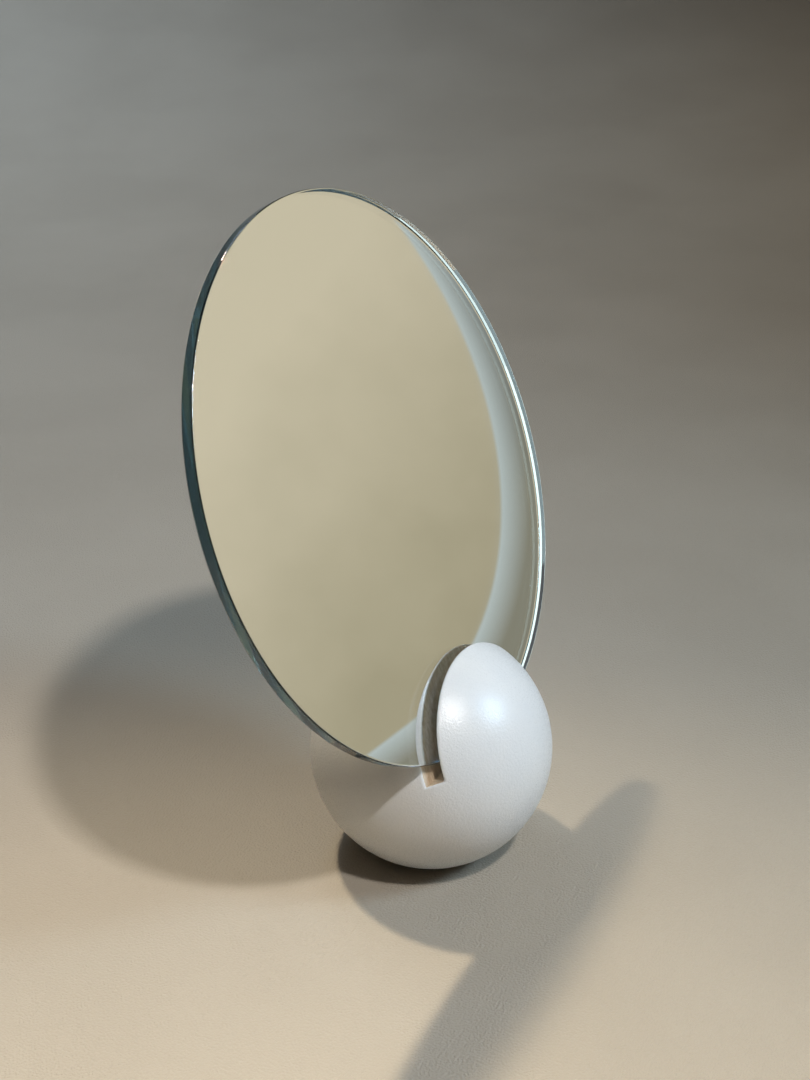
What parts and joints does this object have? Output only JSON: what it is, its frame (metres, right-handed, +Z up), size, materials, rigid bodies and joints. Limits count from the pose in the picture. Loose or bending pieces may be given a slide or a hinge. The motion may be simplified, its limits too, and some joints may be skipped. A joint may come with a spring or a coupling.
{
  "type": "table mirror",
  "caption": "Round frameless mirror that stands loose in a slanted slot cut through a painted wooden ball with a flat, felt-covered foot, and leans back for use on a table.",
  "frame": {"origin": "middle of the felt pad's underside, where the mirror stands on the table", "axes": "+Z up; the mirror faces -Y and leans back towards +Y; +X runs along the slot"},
  "size_m": [0.18, 0.0903, 0.2127],
  "materials": {
    "painted_wood": "satin off-white paint sprayed on turned wood, with bare pale wood inside the slot",
    "steel": "turned bar, bare",
    "felt": "pressed wool felt, self-adhesive",
    "glass": "clear float glass with a polished edge, green when seen through the edge",
    "silver": "silvered",
    "back_paint": "grey protective paint film, matt"
  },
  "bodies": {
    "stand": {"ball_base": "painted_wood", "ballast_weight": "steel", "felt_pad": "felt"},
    "mirror": {"mirror_glass": "glass", "silver_layer": "silver", "back_paint": "back_paint"}
  },
  "joints": [
    {"name": "mirror_lift", "type": "slide", "parent": "stand", "child": "mirror", "axis": [0, 0.3746, 0.9272], "range_m": [0, 0.04]}
  ]
}
